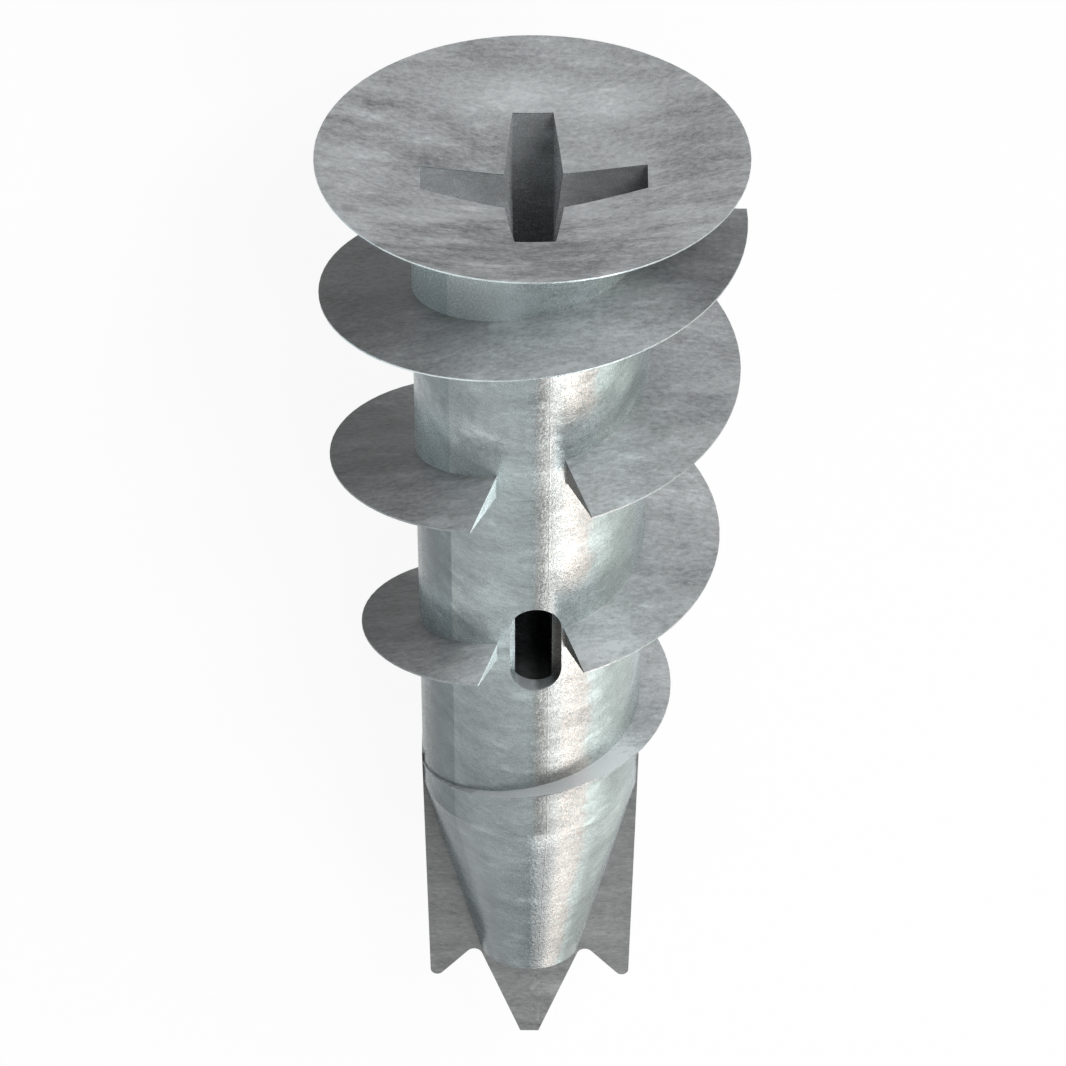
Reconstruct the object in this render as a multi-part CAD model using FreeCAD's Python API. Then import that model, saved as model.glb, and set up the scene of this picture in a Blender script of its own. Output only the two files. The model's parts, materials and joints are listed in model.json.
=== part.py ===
import FreeCAD, Part
import math
import os

from FreeCAD import Vector

# Drywall anchor, one zinc die casting that drills and threads its own hole.
# All lengths are millimetres and all depths are measured down from the rim of the head.
# The casting is drawn upright on the Z axis, with its window towards -Y, and then laid down.

# Head: a thin disc with a dished top
HEAD_RADIUS = 6.25
RIM_THICKNESS = 0.05
DISH_SLOPE = 0.23
HEAD_UNDER_SLOPE = 0.46
NECK_FLARE = 0.3
NECK_FLARE_DEPTH = 0.5

# Core: a slightly tapered shank that ends in a blunt cone
CORE_RADIUS = 3.54
CORE_TAPER = 0.0175
CONE_TOP_DEPTH = 21.9
CONE_END_DEPTH = 28.17
CONE_END_RADIUS = 1.5

# Thread: one right-hand start, whose lead is longest in the middle
FIRST_TURN = -0.016
THREAD_START_DEPTH = 2.25
THREAD_LEAD = 6.05
LEAD_LOSS = 0.6
LEAD_PEAK_TURNS = 1.72
THREAD_TURNS = 3.41
THREAD_HEIGHT = 2.68
HEIGHT_FADE = 3.17
TAIL_HEIGHT = 0.08
TAIL_TURNS = 3.5
CREST_THICKNESS = 0.05
UPPER_FLANK_SLOPE = 0.08
LOWER_FLANK_SLOPE = 0.18
ROOT_FILLET = 0.28
FILLET_RATIO = 0.85
ROOT_SINK = 0.3
STEPS_PER_TURN = 24
LEAST_STEPS = 4

# Gaps: the thread stops short of the casting's seam, twice in front and twice at the back
FRONT_GAP_TURNS = (1.25, 2.25)
BACK_GAP_TURNS = (1.75, 2.75)
GAP_HALF_ANGLE = 17.0

# Drive recess: a plain cross whose arms widen towards the hub, a little off the axis
RECESS_REACH = 3.26
ARM_WIDTH = 1.18
HUB_WIDTH = 1.7
RECESS_DEPTH = 3.17
RECESS_SHIFT = 0.05
RECESS_ANGLE = 0.7

# Screw channel: the cross goes on below the recess, and narrows down to a blind end
CHANNEL_END_REACH = 2.61
CHANNEL_END_WIDTH = 1.05
CHANNEL_END_DEPTH = 19.0

# Windows: an oblong slot in front and one at the back, into the channel
WINDOW_WIDTH = 1.5
WINDOW_HEIGHT = 2.95
WINDOW_DEPTH = 15.08
WINDOW_SHIFT = 0.15
WINDOW_FLOOR_RADIUS = 2.66

# Cutting plate: flat, with two spurs and a centre point
PLATE_THICKNESS = 1.0
PLATE_TOP_DEPTH = 20.9
PLATE_TOP_HALF = 3.19
SPUR_HALF = 2.93
SPUR_DEPTH = 29.43
SPUR_ROUND = 0.2
NOTCH_HALF = 1.56
NOTCH_DEPTH = 27.97
NOTCH_ROUND = 0.25
TIP_HALF = 0.27
TIP_DEPTH = 31.27


def rounded_outline(corners):
    """Closed wire through (point, radius) corners, with a tangent arc at each radius above zero."""
    edges = []
    ends = []
    count = len(corners)
    for i in range(count):
        point, radius = corners[i]
        before = (corners[i - 1][0] - point).normalize()
        after = (corners[(i + 1) % count][0] - point).normalize()
        if radius == 0:
            ends.append((point, point, None))
            continue
        half = before.getAngle(after) / 2
        reach = radius / math.tan(half)
        middle_line = (before + after).normalize()
        nearest = point + middle_line * (radius / math.sin(half) - radius)
        ends.append((point + before * reach, point + after * reach, nearest))
    for i in range(count):
        start, finish, nearest = ends[i]
        if nearest is not None:
            edges.append(Part.Arc(start, nearest, finish).toShape())
        edges.append(Part.LineSegment(finish, ends[(i + 1) % count][0]).toShape())
    return Part.Wire(edges)


def core_radius(depth):
    return CORE_RADIUS - CORE_TAPER * depth


def dish_depth(radius):
    return DISH_SLOPE * (HEAD_RADIUS - radius)


def head_and_core():
    """Head, flared neck, shank and cone, turned about the Z axis."""
    flare_radius = CORE_RADIUS + NECK_FLARE
    flare_top = RIM_THICKNESS + HEAD_UNDER_SLOPE * (HEAD_RADIUS - flare_radius)
    flare_end = flare_top + NECK_FLARE_DEPTH
    points = [
        Vector(0, 0, -dish_depth(0)),
        Vector(HEAD_RADIUS, 0, 0),
        Vector(HEAD_RADIUS, 0, -RIM_THICKNESS),
        Vector(flare_radius, 0, -flare_top),
        Vector(core_radius(flare_end), 0, -flare_end),
        Vector(core_radius(CONE_TOP_DEPTH), 0, -CONE_TOP_DEPTH),
        Vector(CONE_END_RADIUS, 0, -CONE_END_DEPTH),
        Vector(0, 0, -CONE_END_DEPTH),
    ]
    profile = Part.makePolygon(points + points[:1])
    return Part.Face(profile).revolve(Vector(), Vector(0, 0, 1), 360)


def thread_depth(turn):
    loss = LEAD_LOSS * ((turn - LEAD_PEAK_TURNS) ** 3 + LEAD_PEAK_TURNS ** 3) / 3
    return THREAD_START_DEPTH + THREAD_LEAD * turn - loss


def thread_height(turn):
    """Height of the blade, which fades out near THREAD_TURNS in a low tail."""
    fading = THREAD_HEIGHT * (1 - max(turn / THREAD_TURNS, 0) ** HEIGHT_FADE)
    return (fading + math.sqrt(fading ** 2 + 4 * TAIL_HEIGHT ** 2)) / 2


def thread_point(turn, out, up):
    """Point in the radial plane at this turn, out from the core's side and up from the crest's top."""
    depth = thread_depth(turn)
    radius = core_radius(depth) + out
    angle = -2 * math.pi * turn
    return Vector(radius * math.cos(angle), radius * math.sin(angle), up - depth)


def blade_corners(turn):
    """Corners of the thread's blade in the radial plane at this turn, starting inside the core."""
    height = thread_height(turn)
    fillet = ROOT_FILLET * height / THREAD_HEIGHT

    def lower_flank(out):
        return -CREST_THICKNESS - LOWER_FLANK_SLOPE * (height - out)

    # Two flats stand for the fillet, whose circle sinks a little into the core.
    centre_out = FILLET_RATIO * fillet
    centre_up = lower_flank(centre_out) - fillet
    slant = fillet * math.sqrt(0.5)
    return [
        thread_point(turn, -ROOT_SINK, UPPER_FLANK_SLOPE * (height + ROOT_SINK)),
        thread_point(turn, height, 0),
        thread_point(turn, height, -CREST_THICKNESS),
        thread_point(turn, centre_out, centre_up + fillet),
        thread_point(turn, centre_out - slant, centre_up + slant),
        thread_point(turn, centre_out - fillet, centre_up),
    ]


def gap_ends(gap_turn):
    """Turns at which the thread stops before a gap and starts again after it."""
    return gap_turn - GAP_HALF_ANGLE / 360, gap_turn + GAP_HALF_ANGLE / 360


def thread_stretches():
    """Start and end turn of each unbroken stretch of thread."""
    stretches = []
    start = FIRST_TURN
    for gap_turn in sorted(FRONT_GAP_TURNS + BACK_GAP_TURNS):
        stop, next_start = gap_ends(gap_turn)
        stretches.append((start, stop))
        start = next_start
    return stretches + [(start, TAIL_TURNS)]


def thread_stretch(start, stop):
    """Solid blade between two turns: ruled faces between the curves of its corners, and flat ends."""
    steps = max(LEAST_STEPS, math.ceil((stop - start) * STEPS_PER_TURN))
    turns = [start + (stop - start) * i / steps for i in range(steps + 1)]
    sections = [blade_corners(turn) for turn in turns]
    curves = []
    for corner in zip(*sections):
        curve = Part.BSplineCurve()
        curve.interpolate(Points=list(corner), Parameters=turns)
        curves.append(curve.toShape())
    faces = [Part.makeRuledSurface(curves[i - 1], curves[i], 1) for i in range(len(curves))]
    for section in (sections[0], sections[-1]):
        faces.append(Part.Face(Part.makePolygon(section + section[:1])))
    shell = Part.Shell(faces)
    shell.sewShape()
    return Part.Solid(shell)


def thread():
    return [thread_stretch(start, stop) for start, stop in thread_stretches()]


def cutting_plate():
    right = [
        (Vector(TIP_HALF, 0, -TIP_DEPTH), 0),
        (Vector(NOTCH_HALF, 0, -NOTCH_DEPTH), NOTCH_ROUND),
        (Vector(SPUR_HALF, 0, -SPUR_DEPTH), SPUR_ROUND),
        (Vector(PLATE_TOP_HALF, 0, -PLATE_TOP_DEPTH), 0),
    ]
    left = [(Vector(-point.x, 0, point.z), radius) for point, radius in reversed(right)]
    plate = Part.Face(rounded_outline(right + left))
    plate.translate(Vector(0, -PLATE_THICKNESS / 2, 0))
    return plate.extrude(Vector(0, PLATE_THICKNESS, 0))


def cross_outline(reach, arm_width, hub_width, depth):
    """Twelve-sided cross in a level plane: two corners at each arm's end, one between arms."""
    points = []
    for quarter in range(4):
        angle = math.pi / 2 * quarter
        along = Vector(math.cos(angle), math.sin(angle), 0)
        across = Vector(-math.sin(angle), math.cos(angle), 0)
        points.append(along * reach - across * (arm_width / 2))
        points.append(along * reach + across * (arm_width / 2))
        points.append((along + across) * (hub_width / 2))
    points = [point + Vector(0, 0, -depth) for point in points]
    return Part.makePolygon(points + points[:1])


def drive_recess():
    """Cross with upright arm ends, and sides that lean in from the wide hub to the floor."""
    hub_depth = dish_depth(HUB_WIDTH / math.sqrt(2))
    lean = (HUB_WIDTH - ARM_WIDTH) / (RECESS_DEPTH - hub_depth)
    mouth = cross_outline(RECESS_REACH, ARM_WIDTH, ARM_WIDTH + lean * RECESS_DEPTH, 0)
    floor = cross_outline(RECESS_REACH, ARM_WIDTH, ARM_WIDTH, RECESS_DEPTH)
    return Part.makeLoft([mouth, floor], True, True)


def screw_channel():
    """Cross from the floor of the recess to the blind end, with tapered sides and arm ends."""
    mouth = cross_outline(RECESS_REACH, ARM_WIDTH, ARM_WIDTH, RECESS_DEPTH)
    end = cross_outline(CHANNEL_END_REACH, CHANNEL_END_WIDTH, CHANNEL_END_WIDTH, CHANNEL_END_DEPTH)
    return Part.makeLoft([mouth, end], True, True)


def cross_hole():
    hole = drive_recess().fuse(screw_channel())
    hole.rotate(Vector(), Vector(0, 0, 1), RECESS_ANGLE)
    hole.translate(Vector(RECESS_SHIFT, 0, 0))
    return hole


def windows():
    """Oblong slots whose flat bottoms break into the ends of the channel's arms."""
    radius = WINDOW_WIDTH / 2
    straight = WINDOW_HEIGHT / 2 - radius
    middle = Vector(WINDOW_SHIFT, -CORE_RADIUS, -WINDOW_DEPTH)
    right = Vector(radius, 0, 0)
    up = Vector(0, 0, straight)
    cap = Vector(0, 0, straight + radius)
    outline = Part.Wire([
        Part.Arc(middle + up + right, middle + cap, middle + up - right).toShape(),
        Part.LineSegment(middle + up - right, middle - up - right).toShape(),
        Part.Arc(middle - up - right, middle - cap, middle - up + right).toShape(),
        Part.LineSegment(middle - up + right, middle + up + right).toShape(),
    ])
    front = Part.Face(outline).extrude(Vector(0, CORE_RADIUS - WINDOW_FLOOR_RADIUS, 0))
    back = front.rotated(Vector(), Vector(0, 0, 1), 180)
    return [front, back]


def anchor():
    body = head_and_core().fuse([cutting_plate()] + thread())
    body = body.cut([cross_hole()] + windows())
    return body.removeSplitter()


def laid_at_rest(body):
    """Body on its back, front window up and head towards +Y.

    It rests on three corners of the thread: both ends of the first gap at the back and the near
    end of the second.
    """
    foot_turns = gap_ends(BACK_GAP_TURNS[0]) + gap_ends(BACK_GAP_TURNS[1])[:1]
    feet = [thread_point(turn, thread_height(turn), -CREST_THICKNESS) for turn in foot_turns]
    up = (feet[1] - feet[0]).cross(feet[2] - feet[0]).normalize()
    if up.y > 0:
        up = -up
    head_way = (Vector(0, 0, 1) - up * up.z).normalize()
    upright = FreeCAD.Rotation(head_way.cross(up), head_way, up, "ZYX")
    body.Placement = FreeCAD.Placement(Vector(), upright.inverted())
    box = body.optimalBoundingBox(False, False)
    body.translate(Vector(-box.Center.x, -box.Center.y, -upright.inverted().multVec(feet[0]).z))
    return body


os.makedirs("parts", exist_ok=True)
laid_at_rest(anchor()).exportStep("parts/anchor.step")
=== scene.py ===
import json
import math

import bpy
from mathutils import Matrix, Vector

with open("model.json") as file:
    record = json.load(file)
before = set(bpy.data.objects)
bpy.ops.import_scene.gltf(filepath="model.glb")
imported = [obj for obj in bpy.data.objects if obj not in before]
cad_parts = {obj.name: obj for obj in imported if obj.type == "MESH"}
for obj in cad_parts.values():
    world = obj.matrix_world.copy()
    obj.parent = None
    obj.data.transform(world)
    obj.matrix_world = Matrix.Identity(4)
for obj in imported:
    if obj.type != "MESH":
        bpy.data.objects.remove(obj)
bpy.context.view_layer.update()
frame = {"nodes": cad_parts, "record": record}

MM = 0.001

# Sizes of the solid that the skin follows, in millimetres, and in turns along the thread
HEAD_RADIUS = 6.25
DISH_SLOPE = 0.23
DISH_DEPTH = HEAD_RADIUS * DISH_SLOPE
CORE_RADIUS = 3.54
CORE_TAPER = 0.0175
PLATE_THICKNESS = 1.0
THREAD_START_DEPTH = 2.25
THREAD_LEAD = 6.05
LEAD_LOSS = 0.6
LEAD_PEAK_TURNS = 1.72

# The anchor's own axes, as it stands in the photograph: across to the right, back, and up to its head
RECESS_ROLL = math.radians(0.68)
MOUNTS = {mount["name"]: mount for mount in frame["record"]["mounts"]}
UP = Vector(MOUNTS["screw_entry"]["axis"]).normalized()
RIM_CENTRE = Vector(MOUNTS["screw_entry"]["pos_m"]) + UP * DISH_DEPTH * MM
ACROSS = Matrix.Rotation(-RECESS_ROLL, 3, UP) @ UP.cross(Vector((0, 0, 1))).normalized()
BACK = UP.cross(ACROSS)

# Camera, fitted to the photograph
LENS = 439.02
SENSOR_WIDTH = 36
CAMERA_AT = (0.058, -306.197, 209.339)
CAMERA_PITCH = 0.628586
CAMERA_ROLL = 0.0035775
NEAREST = 0.01
FARTHEST = 20

# Lamps: degrees right of the front and up from the rim, width and height in metres, radiance
LAMPS = {
    "key": (58, 46, 0.50, 0.30, 5.5),
    "tip_strip": (31, -42, 0.25, 0.62, 4.2),
    "tip_right": (62, -44, 0.46, 0.56, 2.7),
    "tip_left": (-42, -28, 0.80, 0.45, 0.8),
}
LAMP_DISTANCE = 0.6
LIT_POINT = (0, 0, -14)
WORLD_STRENGTH = 0.2
FLOOR_REACH = 3.0
FLOOR_COLOUR = (0.92, 0.92, 0.92, 1)
FLOOR_ROUGHNESS = 0.9
FLOOR_SPECULAR = 0.1
FLOOR_WHITENESS = 0.92
WHITE = (1, 1, 1, 1)

# Colours of the casting with painted tints of the highlight and a painted edge highlight, and the most
# that its tone may multiply them by
FLAT_COLOUR = (0.362, 0.377, 0.383, 1)
WALL_COLOUR = (0.36, 0.411, 0.418, 1)
LEFT_COLOUR = (0.265, 0.325, 0.34, 1)
# Painted tints of the highlight: warm in it, mint to its right
HIGHLIGHT_WARM_TINT = (0.435, 0.40, 0.364, 1)
HIGHLIGHT_MINT_TINT = (0.365, 0.42, 0.40, 1)
DULL_COLOUR = (0.228, 0.233, 0.233, 1)
# Painted highlight along the sharp edges
EDGE_HIGHLIGHT_COLOUR = (0.80, 0.81, 0.81, 1)
BRIGHTEST = 2.3

# Its finish, with the relief and the width in millimetres of the painted edge highlight
FLAT_METALLIC = 0.62
WALL_METALLIC = 0.35
FLAT_ROUGHNESS = 0.45
WALL_ROUGHNESS = 0.12
PLATE_ROUGHER = 0.2
PITS_ROUGHER = 0.22
STREAKS_ROUGHER = 0.1
RELIEF = 0.007
EDGE_WIDTH = 0.014
EDGE_HIGHLIGHT_AMOUNT = 0.75

# Patterns of the casting, per millimetre: grains, bends, and flow marks across, up and back
GRAINS = 23.0
GRITS = 11.0
FLOW_BENDS = 0.3
FINE_MARKS = (5.0, 12.0, 3.0)
BROAD_MARKS = (0.45, 1.3, 0.6)
SMEARS = (1.0, 2.6, 1.2)

# Course of the flow marks: how steeply they rise to the back, how far the bends move them in
# millimetres, and the share of the height that counts on a flat
FLOW_TILT = 0.7
FLOW_DRIFT = 0.2
FLOW_RISE_ON_FLATS = 0.15

# How strongly they change the tone; a pair is for flats and for walls
BROAD_WEIGHT = 1.15
SMEAR_WEIGHT = 0.25
GRIT_WEIGHT = 0.9
GRAIN_WEIGHTS = (0.40, 0.12)
FINE_WEIGHTS = (1.25, 0.85)
FINE_MORE_ON_SHADED_FLATS = 0.7
FINE_MORE_ON_PLATE = 0.4

# Limits of the kinds of surface, from none to full: how far they face a direction
FLAT_LEAN = (0.6, 0.85)
PLATE_LEAN = (0.96, 0.985)
CUT_LEAN = (0.6, 0.3)
EDGE_LEAN = (0.985, 0.88)

# Limits in millimetres, from none to full: distance outside the shank, height over the dish, reach
OUTSIDE_CLEAR = (-0.2, -0.1)
COVE_CLEAR = (-0.1, -0.05)
WINDOW_CLEAR = (-0.03, -0.07)
CUT_CLEAR = (0.04, 0.1)
CREST_CLEAR = (0.3, 0.5)
RECESS_SUNK = (-0.02, -0.05)
RECESS_REACH = (3.42, 3.38)
PLATE_REACH = (PLATE_THICKNESS / 2 + 0.06, PLATE_THICKNESS / 2 + 0.02)

# Heights are in millimetres up from the rim, angles in degrees right of the front. A band is full
# between its two middle numbers and fades out towards the outer ones; None leaves a side open.
OPEN = (None, None, None, None)
HEAD_HEIGHTS = (-1.9, -1.7, None, None)
BELOW_HEAD = (None, None, -2.3, -1.9)
NECK_HEIGHTS = (-5.6, -4.4, None, None)
BELOW_NECK = (None, None, -5.2, -4.2)
RECESS_HEIGHTS = (-8.0, -7.0, None, None)
WINDOW_HEIGHTS = (-20.0, -19.0, -13.0, -12.0)
CUT_HEIGHTS = (-20.0, -19.0, None, None)
SHADED_FLAT_HEIGHTS = (-20.6, -19.6, None, None)
EDGE_HEIGHTS = (-20.8, -20.2, None, None)
PLATE_HEIGHTS = (None, None, -20.6, -20.0)
CONE_HEIGHTS = (None, None, -23.2, -21.5)
FROM_BACK = (-175, -115, None, None)
SHADED_FLAT_ANGLES = (-175, -115, -75, -20)
LEFT_ANGLES = (-175, -115, -44.4, -43.6)
GRITTY_ANGLES = (0, 5, 30, 50)
GRITTY_RELIEF_ANGLES = (-5, 0, 5, 10)
MINT_ANGLES = (28, 38, 56, 74)
SEAM_ANGLE = 9.1
SEAM_HALF = (0.5, 0.2)

# Lighter and darker clouds on the head, partly mottling and partly painted shade, lighter at the back and
# darker at the front and right: across, back, reach across, reach back, change of tone
CLOUDS = (
    (2.2, 3.4, 2.0, 1.0, 0.32),
    (-0.8, 3.9, 2.8, 1.2, 0.42),
    (-5.0, 0.4, 2.0, 1.6, 0.06),
    (-3.0, 1.6, 3.4, 2.0, -0.16),
    (4.8, 0.6, 2.6, 3.6, -0.26),
    (0.0, -4.5, 6.0, 3.0, -0.40),
)

# Painted light on the wall just above the thread at the left, where it lies in shade: turn, gain of tone,
# angle where it is full
PAINTED_COVE_LIGHTS = ((1, 1.35, -60), (2, 0.55, -20))
COVE_BAND = (-0.1, 0.1, 1.3, 2.7)
ROOT_BAND = (-0.1, 0.1, 1.0, 2.0)

# Lighter and darker patches, most of them painted light and shade: surfaces, band of heights, band of
# angles, then what their tone is multiplied by. A gain that changes names the measure, its two ends and
# the gain at each.
PATCHES = (
    # Flats of the thread: painted shade at the left, painted light at the front, painted shade at the
    # right under the head, painted light low down
    ("dull", OPEN, OPEN, 0.31),
    ("thread", OPEN, (-40, -5, 30, 75),
     ("height", -13.0, -17.0, 1.55, 3.6), ("height", -9.0, -6.0, 1.0, 1.258)),
    ("thread", (-7.0, -4.5, None, None), (30, 60, 115, 175), 0.6),
    ("thread", (None, None, -14.0, -12.0), (40, 75, 115, 175), 1.2),
    ("thread", (None, None, -20.6, -19.8), OPEN, 1.35),
    # Cut ends of the thread, painted lighter at the left and darker at the right as the light falls, and
    # its crest
    ("cut", OPEN, OPEN, ("across", -0.3, 0.3, 1.9, 0.3)),
    ("crest", OPEN, OPEN, 0.75),
    # Head, a little lighter at the right, and painted light and shade in the recess and windows: recess
    # lighter, most at the left, windows lighter at the left and darker at the right
    ("head", OPEN, OPEN, ("across", 0.5, -2.0, 1.08, 0.95)),
    ("recess", OPEN, OPEN, ("across", 0.5, 1.5, 1.5, 1.1)),
    ("window", OPEN, OPEN, ("across", -0.3, 0.3, 1.6, 0.3)),
    # Neck, painted light against the shade under the head, lightest at the front left
    ("outside", NECK_HEIGHTS, OPEN,
     ("angle", -110, -55, 0.38, 1.0), ("angle", -25, 5, 3.2, 1.65), ("angle", 8, 30, 1.0, 0.72)),
    # Upper shank, painted a little lighter in the highlight, and painted shade on the wall above the
    # thread at the right
    ("wall", (-10.5, -9.5, -4.4, -3.6), (6, 14, 50, 60), ("height", -7.8, -6.6, 1.0, 1.2)),
    ("wall root", OPEN, (25, 45, 65, 85), 0.78),
    # Painted shade on the strip beyond the die's edge at the left, darker further left
    ("wall left coveless", (-17.5, -14.5, -12.5, -8.5), OPEN, ("angle", -45, -64, 0.74, 0.52)),
    ("wall left", (-21.5, -20.5, -17.5, -14.5), OPEN, ("angle", -45, -64, 0.88, 0.7)),
    # Lower shank, painted shade: darker low down, to the left and in the highlight
    ("wall", (None, None, -18.0, -16.5), OPEN, 0.84),
    ("wall", (-27.0, -21.0, -17.5, -14.5), (-175, -115, -62, -18), ("height", -20.0, -22.5, 0.9, 0.6)),
    ("wall", (-22.2, -21.6, -16.5, -15.5), (-2, 8, 18, 28), ("height", -19.0, -20.5, 0.84, 0.68)),
    # Cone, with a painted highlight that moves its highlight to the right, painted shade at its left and
    # low down, and the drill plate, lighter at the right
    ("cone", OPEN, OPEN, ("angle", -150, -90, 0.73, 1.0), ("angle", -12, 9, 1.2, 0.52),
     ("angle", 10, 28, 1.0, 2.7), ("angle", 34, 44, 1.0, 0.7)),
    ("cone", OPEN, (-70, -50, -32, -18), 0.74),
    ("wall plateless", (None, None, -27.0, -22.5), OPEN, 0.76),
    ("wall plate", (None, None, -27.0, -22.5), OPEN, ("across", -2.0, 1.0, 0.96, 1.15)),
)


def direction(across, back, up):
    return ACROSS * across + BACK * back + UP * up


def place(across, back, up):
    """World point from millimetres along the anchor's own axes, counted from the middle of its rim."""
    return RIM_CENTRE + MM * direction(across, back, up)


def add_camera():
    forward = direction(0, math.cos(CAMERA_PITCH), -math.sin(CAMERA_PITCH))
    upright = direction(0, math.sin(CAMERA_PITCH), math.cos(CAMERA_PITCH))
    right = math.cos(CAMERA_ROLL) * ACROSS + math.sin(CAMERA_ROLL) * upright
    top = math.cos(CAMERA_ROLL) * upright - math.sin(CAMERA_ROLL) * ACROSS
    data = bpy.data.cameras.new("camera")
    data.lens = LENS
    data.sensor_width = SENSOR_WIDTH
    data.sensor_fit = "HORIZONTAL"
    data.clip_start = NEAREST
    data.clip_end = FARTHEST
    camera = bpy.data.objects.new("camera", data)
    axes = Matrix((right, top, -forward)).transposed().to_4x4()
    camera.matrix_world = Matrix.Translation(place(*CAMERA_AT)) @ axes
    bpy.context.scene.collection.objects.link(camera)
    bpy.context.scene.camera = camera


class Shader:
    """Short calls for building one material's nodes."""

    def __init__(self, name):
        self.material = bpy.data.materials.new(name)
        self.material.use_nodes = True
        self.tree = self.material.node_tree
        self.surface = self.tree.nodes["Principled BSDF"]

    def plug(self, value, socket):
        if isinstance(value, bpy.types.NodeSocket):
            self.tree.links.new(value, socket)
        else:
            socket.default_value = value

    def node(self, kind, inputs=(), **settings):
        made = self.tree.nodes.new(kind)
        for name, value in settings.items():
            setattr(made, name, value)
        for name, value in dict(inputs).items():
            self.plug(value, made.inputs[name])
        return made

    def math(self, operation, *values):
        return self.node("ShaderNodeMath", enumerate(values), operation=operation).outputs[0]

    def add_scaled(self, value, factor, base):
        """Base plus value times factor."""
        return self.math("MULTIPLY_ADD", value, factor, base)

    def vector(self, operation, *values):
        made = self.node("ShaderNodeVectorMath", enumerate(values), operation=operation)
        return made.outputs["Value" if operation in ("DOT_PRODUCT", "LENGTH") else "Vector"]

    def combine(self, x, y, z):
        return self.node("ShaderNodeCombineXYZ", enumerate((x, y, z))).outputs[0]

    def ramp(self, value, low, high, to_low=0.0, to_high=1.0):
        """Smooth step from to_low where value is low to to_high where it is high."""
        return self.node("ShaderNodeMapRange", {
            "Value": value, "From Min": low, "From Max": high, "To Min": to_low, "To Max": to_high},
            interpolation_type="SMOOTHSTEP").outputs["Result"]

    def band(self, value, start, full, last, end):
        """One from full to last, fading out to start and to end; None leaves a side open."""
        sides = [1.0]
        if start is not None:
            sides.append(self.ramp(value, start, full))
        if end is not None:
            sides.append(self.ramp(value, end, last))
        return self.product(*sides)

    def blend(self, amount, low, high):
        """Number that goes from low to high with amount."""
        return self.node("ShaderNodeMapRange", {"Value": amount, "To Min": low, "To Max": high},
                         clamp=True).outputs["Result"]

    def noise(self, where, scale, detail, roughness, distortion=0.0):
        return self.node("ShaderNodeTexNoise", {
            "Vector": where, "Scale": scale, "Detail": detail, "Roughness": roughness,
            "Distortion": distortion}).outputs["Fac"]

    def mix(self, amount, first, second):
        """Colour that goes from first to second with amount."""
        made = self.node("ShaderNodeMix", data_type="RGBA")
        colours = [socket for socket in made.inputs if socket.type == "RGBA"]
        self.plug(amount, made.inputs[0])
        self.plug(first, colours[0])
        self.plug(second, colours[1])
        return [socket for socket in made.outputs if socket.type == "RGBA"][0]

    def product(self, *values):
        """Product of these values, leaving out those that are one."""
        total = 1.0
        for value in values:
            if total == 1.0:
                total = value
            elif value != 1.0:
                total = self.math("MULTIPLY", total, value)
        return total

    def inverse(self, value):
        return self.math("SUBTRACT", 1.0, value)


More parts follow.
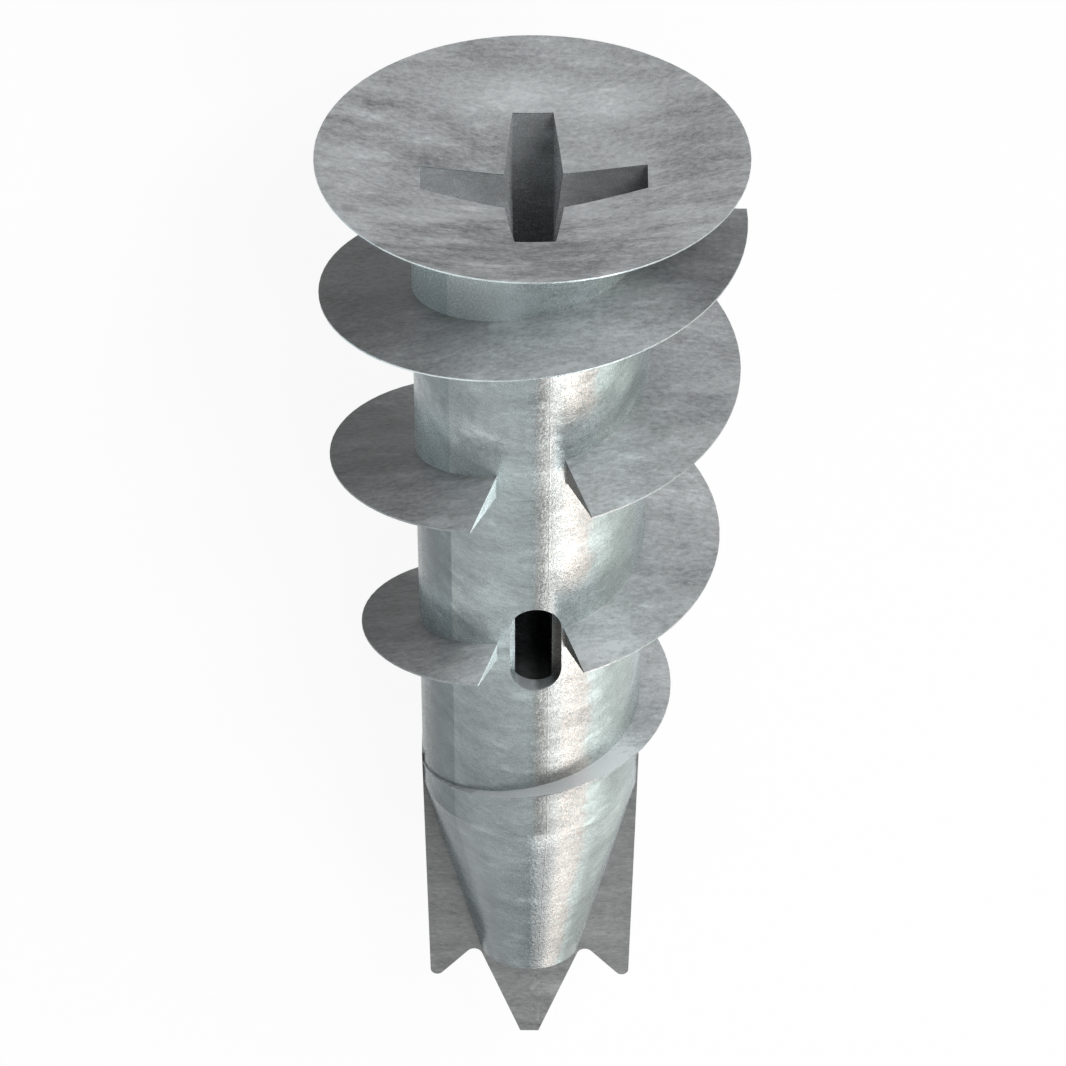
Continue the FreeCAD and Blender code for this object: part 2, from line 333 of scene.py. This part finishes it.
class Zinc(Shader):
    """The casting's skin with much painted light and shade, laid by place in the anchor's own millimetres
    and degrees.
    """

    def __init__(self):
        super().__init__("zinc_casting")
        self.measure()
        self.find_surfaces()
        self.draw_patterns()
        self.find_coves()
        toned = self.vector("SCALE", self.colour())
        self.plug(self.tone(), toned.node.inputs["Scale"])
        # Painted highlight along the sharp edges, over the toned colour
        edge_highlighted = self.mix(self.product(self.edge, EDGE_HIGHLIGHT_AMOUNT), toned, EDGE_HIGHLIGHT_COLOUR)
        self.plug(edge_highlighted, self.surface.inputs["Base Color"])
        self.plug(self.roughness(), self.surface.inputs["Roughness"])
        self.plug(self.blend(self.wall, FLAT_METALLIC, WALL_METALLIC), self.surface.inputs["Metallic"])
        self.plug(self.relief(), self.surface.inputs["Normal"])

    def measure(self):
        """Where the point lies: across, back, height, angle, and distance from the axis and the shank."""
        texture = self.node("ShaderNodeTexCoord").outputs
        local = self.vector("SCALE", self.vector("SUBTRACT", texture["Object"], RIM_CENTRE))
        local.node.inputs["Scale"].default_value = 1 / MM
        self.across = self.vector("DOT_PRODUCT", local, ACROSS)
        self.back = self.vector("DOT_PRODUCT", local, BACK)
        self.height = self.vector("DOT_PRODUCT", local, UP)
        self.point = self.combine(self.across, self.back, self.height)
        self.outward = self.combine(self.across, self.back, 0.0)
        self.radius = self.vector("LENGTH", self.outward)
        forward = self.math("MULTIPLY", self.back, -1.0)
        self.angle = self.math("MULTIPLY", self.math("ARCTAN2", self.across, forward), 180 / math.pi)
        shank = self.add_scaled(self.height, CORE_TAPER, CORE_RADIUS)
        self.clear = self.math("SUBTRACT", self.radius, shank)
        self.normal = texture["Normal"]

    def lean(self, axis):
        """How far the surface faces along this axis, either way."""
        return self.math("ABSOLUTE", self.vector("DOT_PRODUCT", self.normal, axis))

    def find_surfaces(self):
        """Masks of the kinds of surface, each one where it holds and nought elsewhere."""
        self.flat = self.ramp(self.lean(UP), *FLAT_LEAN)
        self.wall = self.inverse(self.flat)
        self.outside = self.product(self.wall, self.ramp(self.clear, *OUTSIDE_CLEAR))
        self.head = self.product(self.flat, self.band(self.height, *HEAD_HEIGHTS))
        self.thread = self.product(self.flat, self.band(self.height, *BELOW_HEAD))
        # Flats of the thread at the left, where shade is painted
        self.dull = self.product(self.thread, self.band(self.angle, *SHADED_FLAT_ANGLES),
                                 self.band(self.height, *SHADED_FLAT_HEIGHTS))
        self.left = self.band(self.angle, *LEFT_ANGLES)
        self.find_cuts()
        self.find_plate()
        self.find_hollows()
        self.find_edges()

    def find_cuts(self):
        """Cut ends of the thread, which face along it, and the rest of its crest."""
        level = self.combine(self.vector("DOT_PRODUCT", self.normal, ACROSS),
                             self.vector("DOT_PRODUCT", self.normal, BACK), 0.0)
        outward = self.vector("DOT_PRODUCT", self.vector("NORMALIZE", self.outward), level)
        self.cut = self.product(self.wall, self.ramp(self.math("ABSOLUTE", outward), *CUT_LEAN),
                                self.ramp(self.clear, *CUT_CLEAR), self.band(self.height, *CUT_HEIGHTS))
        self.crest = self.product(self.wall, self.ramp(self.clear, *CREST_CLEAR), self.inverse(self.cut))

    def find_plate(self):
        """Broad faces of the drill plate, and the walls of the cone and the tip beside them."""
        self.plate = self.product(self.ramp(self.lean(BACK), *PLATE_LEAN),
                                  self.band(self.height, *PLATE_HEIGHTS),
                                  self.ramp(self.math("ABSOLUTE", self.back), *PLATE_REACH))
        self.plateless = self.inverse(self.plate)
        self.cone = self.product(self.wall, self.band(self.height, *CONE_HEIGHTS), self.plateless)

    def find_hollows(self):
        """Inside of the cross recess and of the windows."""
        dish = self.add_scaled(self.radius, DISH_SLOPE, -DISH_DEPTH)
        self.recess = self.product(self.ramp(self.math("SUBTRACT", self.height, dish), *RECESS_SUNK),
                                   self.ramp(self.radius, *RECESS_REACH),
                                   self.band(self.height, *RECESS_HEIGHTS))
        self.window = self.product(self.ramp(self.clear, *WINDOW_CLEAR),
                                   self.band(self.height, *WINDOW_HEIGHTS))

    def find_edges(self):
        """Sharp edges above the drill plate, where a rounded normal leaves the surface's own, for the
        painted highlight along them.
        """
        rounded = self.node("ShaderNodeBevel", {"Radius": EDGE_WIDTH * MM}, samples=2).outputs[0]
        sharp = self.node("ShaderNodeNewGeometry").outputs["Normal"]
        self.edge = self.product(self.ramp(self.vector("DOT_PRODUCT", rounded, sharp), *EDGE_LEAN),
                                 self.band(self.height, *EDGE_HEIGHTS))

    def draw_patterns(self):
        """Flow marks of the casting, in layers that run across and rise to the back, and two grains."""
        along = self.add_scaled(self.back, -FLOW_TILT,
                                self.product(self.height, self.blend(self.wall, FLOW_RISE_ON_FLATS, 1.0)))
        along = self.add_scaled(self.noise(self.point, FLOW_BENDS, 1.0, 0.5), FLOW_DRIFT, along)
        flow = (self.across, along, self.add_scaled(self.height, FLOW_TILT, self.back))

        def marks(shares, *look):
            stretched = [self.product(part, share) for part, share in zip(flow, shares)]
            return self.noise(self.combine(*stretched), 1.0, *look)

        self.fine = marks(FINE_MARKS, 4.0, 0.7)
        self.broad = marks(BROAD_MARKS, 5.0, 0.72)
        self.smear = self.ramp(marks(SMEARS, 2.0, 0.6, 0.6), 0.56, 0.75)
        self.ragged = self.add_scaled(self.broad, 2.0, -1.0)
        self.grain = self.noise(self.point, GRAINS, 1.0, 0.6)
        self.grit = self.noise(self.point, GRITS, 1.0, 0.6)

    def crest_level(self, turn):
        """Height of the thread's crest beside the point, on this turn, by the solid's own formula."""
        turns = self.add_scaled(self.angle, -1 / 360, 0.25 + turn)
        late = self.math("SUBTRACT", turns, LEAD_PEAK_TURNS)
        start = LEAD_LOSS / 3 * LEAD_PEAK_TURNS ** 3 - THREAD_START_DEPTH
        height = self.add_scaled(turns, -THREAD_LEAD, start)
        return self.add_scaled(self.product(late, late, late), LEAD_LOSS / 3, height)

    def find_coves(self):
        """Just above the thread: its root all round, and the wall's hollow at the left, where light is
        painted against its shade.
        """
        self.cove, self.root = 0.0, 0.0
        for turn, gain, full_angle in PAINTED_COVE_LIGHTS:
            above = self.math("SUBTRACT", self.height, self.crest_level(turn))
            lit = self.ramp(self.angle, 0, full_angle, 0.0, gain)
            self.cove = self.add_scaled(self.band(above, *COVE_BAND), lit, self.cove)
            self.root = self.math("ADD", self.root, self.band(above, *ROOT_BAND))
        self.cove = self.product(self.cove, self.wall, self.band(self.angle, *FROM_BACK),
                                 self.ramp(self.clear, *COVE_CLEAR))
        self.coveless = self.ramp(self.cove, 0.6, 0.35)

    def clouds(self):
        """Change of tone by the clouds on the head, partly painted shade."""
        total = 0.0
        for across, back, reach_across, reach_back, change in CLOUDS:
            away = self.vector("LENGTH", self.combine(
                self.add_scaled(self.across, 1 / reach_across, -across / reach_across),
                self.add_scaled(self.back, 1 / reach_back, -back / reach_back), 0.0))
            near = self.ramp(self.math("ADD", away, self.ragged), 1.1, 0.1)
            total = self.add_scaled(near, change, total)
        return self.product(total, self.head)

    def marks(self):
        """One, raised and lowered by the patterns."""
        gritty = self.product(self.wall, self.band(self.angle, *GRITTY_ANGLES), GRIT_WEIGHT)
        fine = self.add_scaled(self.dull, FINE_MORE_ON_SHADED_FLATS, self.blend(self.wall, *FINE_WEIGHTS))
        fine = self.add_scaled(self.plate, FINE_MORE_ON_PLATE, fine)
        on_head = self.product(self.head, self.ramp(self.across, -2.0, 2.0, 0.35, -0.4))
        total = 1.0
        for pattern, middle, weight in (
                (self.broad, 0.5, BROAD_WEIGHT),
                (self.broad, 0.5, on_head),
                (self.smear, 0.1, SMEAR_WEIGHT),
                (self.grain, 0.5, self.blend(self.wall, *GRAIN_WEIGHTS)),
                (self.grit, 0.5, gritty),
                (self.fine, 0.5, fine)):
            total = self.add_scaled(self.math("SUBTRACT", pattern, middle), weight, total)
        return total

    def gain(self, given):
        """Gain of a patch: a number, or a ramp along the measure that it names."""
        if isinstance(given, tuple):
            return self.ramp(getattr(self, given[0]), *given[1:])
        return given

    def tone(self):
        """What the colour is multiplied by: marks and clouds, then patch after patch, most of them painted
        light and shade, and the painted light in the hollows above the thread.
        """
        total = self.math("ADD", self.marks(), self.clouds())
        for surfaces, heights, angles, *gains in PATCHES:
            where = self.product(*(getattr(self, surface) for surface in surfaces.split()),
                                 self.band(self.height, *heights), self.band(self.angle, *angles))
            inside = self.product(*(self.gain(given) for given in gains))
            total = self.product(total, self.blend(where, 1.0, inside))
        # Painted light in the hollows just above the thread
        total = self.product(total, self.math("ADD", self.cove, 1.0))
        return self.math("MINIMUM", total, BRIGHTEST)

    def colour(self):
        """Cooler at the left, with painted tints of the highlight: warm right of the middle except just
        above the thread, and mint beyond.
        """
        around = self.add_scaled(self.ragged, 10.0, self.angle)
        warm = self.math("ADD", self.ramp(self.angle, 0, 5, 0.0, 0.55),
                         self.ramp(self.angle, 13, 19, 0.0, 0.45))
        warm = self.product(warm, self.ramp(around, 38, 29), self.ramp(self.grain, 0.3, 0.5),
                            self.inverse(self.product(self.root, self.ramp(self.angle, 10, 14))),
                            self.band(self.height, *BELOW_NECK),
                            self.blend(self.cone, 1.0, self.ramp(self.angle, -4, 18)))
        skin = self.mix(self.left, WALL_COLOUR, LEFT_COLOUR)
        skin = self.mix(warm, skin, HIGHLIGHT_WARM_TINT)
        skin = self.mix(self.band(around, *MINT_ANGLES), skin, HIGHLIGHT_MINT_TINT)
        skin = self.mix(self.math("MAXIMUM", self.flat, self.recess), skin, FLAT_COLOUR)
        return self.mix(self.plate, skin, DULL_COLOUR)

    def roughness(self):
        """Smooth walls with rough pits, and rougher flats and plate."""
        pits = self.product(self.wall, self.ramp(self.grain, 0.50, 0.40))
        total = self.blend(self.wall, FLAT_ROUGHNESS, WALL_ROUGHNESS)
        total = self.add_scaled(self.fine, STREAKS_ROUGHER, total)
        total = self.add_scaled(self.plate, PLATE_ROUGHER, total)
        return self.add_scaled(pits, PITS_ROUGHER, total)

    def relief(self):
        """Grain, coarser where the highlight sets in, faint flow marks and the seam of the die."""
        gritty = self.product(self.wall, self.band(self.angle, *GRITTY_RELIEF_ANGLES),
                              self.band(self.height, *BELOW_NECK))
        off_seam = self.math("ABSOLUTE", self.math("SUBTRACT", self.angle, SEAM_ANGLE))
        seam = self.product(self.wall, self.ramp(off_seam, *SEAM_HALF))
        height = self.product(self.mix(gritty, self.grain, self.grit),
                              self.blend(self.product(self.wall, self.plateless), 0.3, 1.0))
        height = self.add_scaled(self.fine, 0.1, height)
        height = self.add_scaled(seam, 0.2, height)
        bump = self.node("ShaderNodeBump", {"Height": height, "Strength": 1.0, "Distance": RELIEF * MM})
        return bump.outputs[0]


def floor():
    """White floor that keeps a faint shadow: seen directly or mirrored, most of it glows white."""
    corners = [(-FLOOR_REACH, -FLOOR_REACH, 0), (FLOOR_REACH, -FLOOR_REACH, 0),
               (FLOOR_REACH, FLOOR_REACH, 0), (-FLOOR_REACH, FLOOR_REACH, 0)]
    mesh = bpy.data.meshes.new("floor")
    mesh.from_pydata(corners, [], [(0, 1, 2, 3)])
    made = bpy.data.objects.new("floor", mesh)
    bpy.context.scene.collection.objects.link(made)
    s = Shader("floor")
    s.surface.inputs["Base Color"].default_value = FLOOR_COLOUR
    s.surface.inputs["Roughness"].default_value = FLOOR_ROUGHNESS
    s.surface.inputs["Specular IOR Level"].default_value = FLOOR_SPECULAR
    ray = s.node("ShaderNodeLightPath").outputs
    seen = s.math("MAXIMUM", s.math("MAXIMUM", ray["Is Camera Ray"], ray["Is Glossy Ray"]),
                  ray["Is Transmission Ray"])
    white = s.node("ShaderNodeEmission", {"Color": WHITE, "Strength": 1.0})
    mixed = s.node("ShaderNodeMixShader", {0: s.math("MULTIPLY", seen, FLOOR_WHITENESS)})
    s.plug(s.surface.outputs[0], mixed.inputs[1])
    s.plug(white.outputs[0], mixed.inputs[2])
    s.plug(mixed.outputs[0], s.tree.nodes["Material Output"].inputs["Surface"])
    mesh.materials.append(s.material)


def softbox(name, azimuth, elevation, width, height, radiance):
    """Rectangular lamp in this direction from the anchor, facing it."""
    data = bpy.data.lights.new(name, "AREA")
    data.shape = "RECTANGLE"
    data.size = width
    data.size_y = height
    data.energy = radiance * math.pi * width * height
    azimuth = math.radians(azimuth)
    elevation = math.radians(elevation)
    level = math.cos(elevation)
    toward = direction(math.sin(azimuth) * level, -math.cos(azimuth) * level, math.sin(elevation))
    right = UP.cross(toward).normalized()
    axes = Matrix((right, toward.cross(right), toward)).transposed().to_4x4()
    lamp = bpy.data.objects.new(name, data)
    lamp.matrix_world = Matrix.Translation(place(*LIT_POINT) + toward * LAMP_DISTANCE) @ axes
    bpy.context.scene.collection.objects.link(lamp)


def studio():
    world = bpy.data.worlds.new("studio")
    world.use_nodes = True
    background = world.node_tree.nodes["Background"]
    background.inputs["Color"].default_value = WHITE
    background.inputs["Strength"].default_value = WORLD_STRENGTH
    bpy.context.scene.world = world
    for name, lamp in LAMPS.items():
        softbox(name, *lamp)


frame["nodes"]["anchor"].material_slots[0].material = Zinc().material
floor()
studio()
add_camera()
bpy.context.scene.view_settings.view_transform = "Standard"
